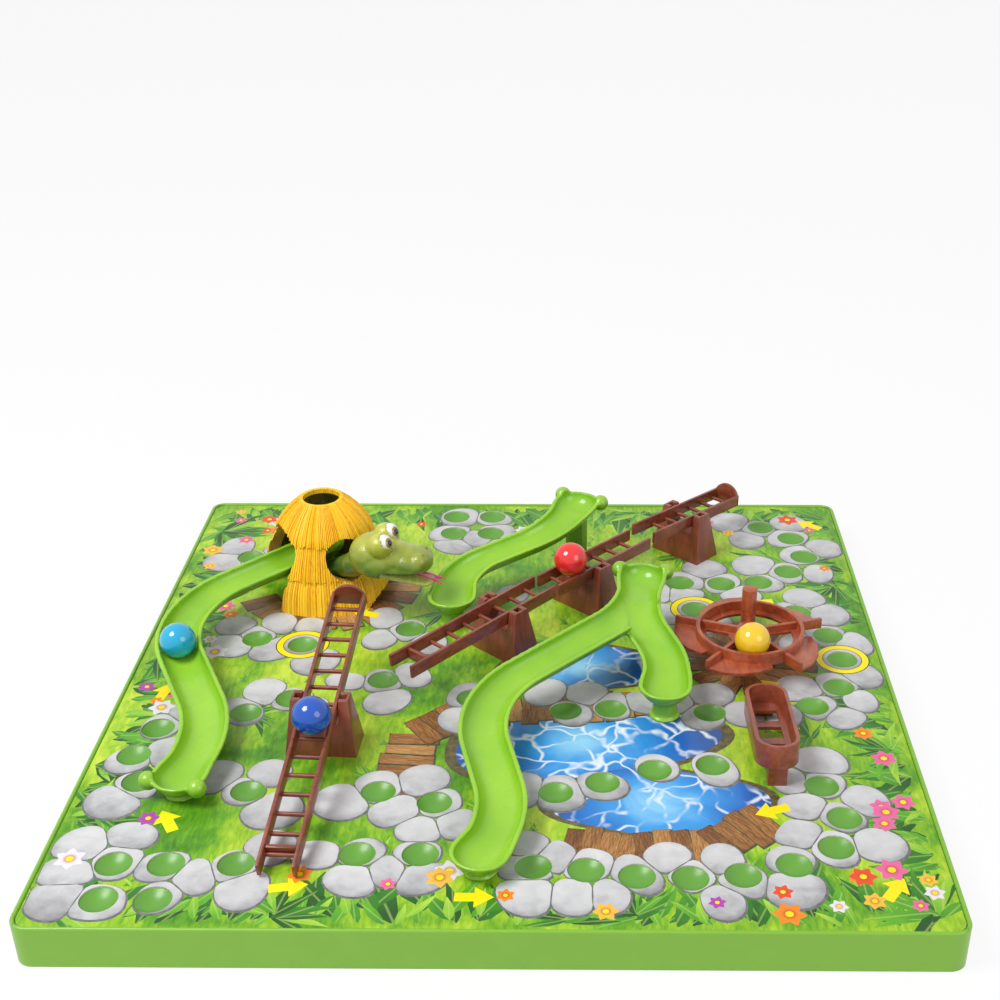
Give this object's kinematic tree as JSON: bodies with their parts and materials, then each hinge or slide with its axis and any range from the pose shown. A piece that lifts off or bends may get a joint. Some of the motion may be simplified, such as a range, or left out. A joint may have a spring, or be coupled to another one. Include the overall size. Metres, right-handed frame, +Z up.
{
  "type": "three-dimensional snakes and ladders board",
  "caption": "Square tabletop game board with a printed card, dished cups, open ball chutes, see-saw ladders, a thatched hut with a snake's head and a turning hand mill.",
  "frame": {"origin": "middle of the tray's lower edge, on the table", "axes": "+X to the player's right, +Y away from the player who sits at the start corner's side, +Z up"},
  "size_m": [0.4, 0.4, 0.076],
  "materials": {
    "tray_green": "glossy moulded plastic",
    "printed_card": "printed and varnished card",
    "thatch_yellow": "satin moulded plastic with straw grooves",
    "snake_green": "glossy moulded plastic",
    "snake_belly": "glossy moulded plastic",
    "eye_white": "glossy painted plastic",
    "tongue_pink": "glossy plastic",
    "chute_green": "glossy moulded plastic",
    "ladder_brown": "glossy moulded plastic",
    "wheel_brown": "glossy moulded plastic",
    "ball_cyan": "polished plastic",
    "ball_blue": "polished plastic",
    "ball_red": "polished plastic",
    "ball_yellow": "polished plastic"
  },
  "bodies": {
    "board": {"tray": "tray_green", "printed_sheet": "printed_card", "hut_shell": "thatch_yellow", "snake_head": "snake_green", "snake_jaw": "snake_belly", "snake_eyes": "eye_white", "snake_tongue": "tongue_pink", "slide_left": "chute_green", "slide_left_post": "chute_green", "slide_rear": "chute_green", "slide_rear_post": "chute_green", "slide_fork": "chute_green", "slide_fork_post": "chute_green", "trestle_front": "ladder_brown", "trestle_low": "ladder_brown", "trestle_mid": "ladder_brown", "trestle_top": "ladder_brown", "mill_base": "ladder_brown", "mill_trough": "ladder_brown"},
    "ladder_front": {"ladder_front": "ladder_brown"},
    "ladder_low": {"ladder_low": "ladder_brown"},
    "ladder_mid": {"ladder_mid": "ladder_brown"},
    "ladder_top": {"ladder_top": "ladder_brown"},
    "mill_wheel": {"mill_wheel": "wheel_brown"},
    "ball_cyan": {"ball_cyan": "ball_cyan"},
    "ball_blue": {"ball_blue": "ball_blue"},
    "ball_red": {"ball_red": "ball_red"},
    "ball_yellow": {"ball_yellow": "ball_yellow"}
  },
  "joints": [
    {"name": "ladder_front_tilt", "type": "hinge", "parent": "board", "child": "ladder_front", "pos_m": [-0.0875, -0.0675, 0.0445], "axis": [0.9983, -0.0576, 0], "range_deg": [-26, 0]},
    {"name": "ladder_low_tilt", "type": "hinge", "parent": "board", "child": "ladder_low", "pos_m": [-0.004, 0.023, 0.0445], "axis": [0.7361, -0.6769, 0], "range_deg": [-16, 14]},
    {"name": "ladder_mid_tilt", "type": "hinge", "parent": "board", "child": "ladder_mid", "pos_m": [0.04135, 0.07232, 0.0445], "axis": [0.7361, -0.6769, 0], "range_deg": [-15, 15]},
    {"name": "ladder_top_tilt", "type": "hinge", "parent": "board", "child": "ladder_top", "pos_m": [0.10092, 0.1371, 0.0445], "axis": [0.7361, -0.6769, 0], "range_deg": [-12, 18]},
    {"name": "mill_wheel_turn", "type": "hinge", "parent": "board", "child": "mill_wheel", "pos_m": [0.1275, 0.0135, 0.033], "axis": [0, 0, 1], "continuous": true},
    {"name": "ball_cyan_roll", "type": "hinge", "parent": "board", "child": "ball_cyan", "pos_m": [-0.1149, 0.01298, 0.0412], "axis": [0.0062, -0.0711, 0.9975], "range_deg": [-30, 8]},
    {"name": "ball_blue_roll", "type": "slide", "parent": "ladder_front", "child": "ball_blue", "axis": [0.0564, 0.9786, 0.1977], "range_m": [-0.06, 0.08]},
    {"name": "ball_red_roll", "type": "slide", "parent": "ladder_mid", "child": "ball_red", "axis": [0.6769, 0.7361, 0], "range_m": [-0.006, 0.046]},
    {"name": "ball_yellow_lift", "type": "slide", "parent": "mill_wheel", "child": "ball_yellow", "axis": [0, 0, 1], "range_m": [0, 0.03]}
  ]
}
